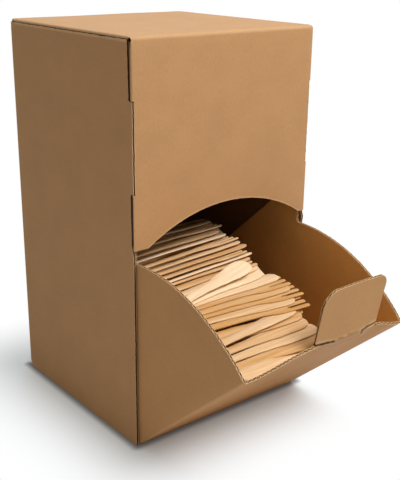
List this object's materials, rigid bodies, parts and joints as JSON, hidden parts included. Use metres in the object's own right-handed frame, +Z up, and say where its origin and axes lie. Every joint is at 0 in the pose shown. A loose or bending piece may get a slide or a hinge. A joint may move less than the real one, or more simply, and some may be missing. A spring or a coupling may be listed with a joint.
{
  "type": "wooden cutlery pack",
  "caption": "Tall corrugated dispenser carton with a tilt-out front tray, packed with wooden knives, forks and spoons, handles to one side.",
  "frame": {"origin": "middle of the carton's base, on the surface it stands on", "axes": "+X to the carton's right seen from the front, +Y to its back, +Z up; the tray tilts out towards -Y"},
  "size_m": [0.27, 0.4565, 0.488],
  "materials": {
    "carton_board": "matte",
    "tray_board": "matte",
    "tab_board": "matte",
    "cutlery_wood": "satin"
  },
  "bodies": {
    "carton": {"carton": "carton_board"},
    "tray": {"tray": "tray_board", "bed_layer_1": "cutlery_wood", "bed_layer_2": "cutlery_wood", "bed_layer_3": "cutlery_wood", "bed_layer_4": "cutlery_wood", "bed_layer_5": "cutlery_wood", "bed_layer_6": "cutlery_wood", "bed_layer_7": "cutlery_wood", "bed_layer_8": "cutlery_wood", "bed_layer_9": "cutlery_wood", "bed_layer_10": "cutlery_wood", "spoon_1": "cutlery_wood", "knife_1": "cutlery_wood", "knife_2": "cutlery_wood", "knife_3": "cutlery_wood", "knife_4": "cutlery_wood", "fork_1": "cutlery_wood", "knife_5": "cutlery_wood", "fork_2": "cutlery_wood", "knife_6": "cutlery_wood", "fork_3": "cutlery_wood", "knife_7": "cutlery_wood", "spoon_2": "cutlery_wood", "knife_8": "cutlery_wood", "fork_4": "cutlery_wood", "knife_9": "cutlery_wood", "knife_10": "cutlery_wood", "fork_5": "cutlery_wood", "knife_11": "cutlery_wood", "knife_12": "cutlery_wood", "fork_6": "cutlery_wood", "knife_13": "cutlery_wood", "knife_14": "cutlery_wood", "fork_7": "cutlery_wood", "knife_15": "cutlery_wood", "spoon_3": "cutlery_wood"},
    "tab": {"tab": "tab_board"}
  },
  "joints": [
    {"name": "tray_tilt", "type": "hinge", "parent": "carton", "child": "tray", "pos_m": [0, -0.1345, 0.0015], "axis": [-1, 0, 0], "range_deg": [0, 48.5]},
    {"name": "tab_fold", "type": "hinge", "parent": "tray", "child": "tab", "pos_m": [0.034, -0.30558, 0.16354], "axis": [-1, 0, 0], "range_deg": [0, 52]}
  ],
  "couplings": [
    {"joint": "tab_fold", "follows": "tray_tilt", "ratio": 1.0619}
  ]
}
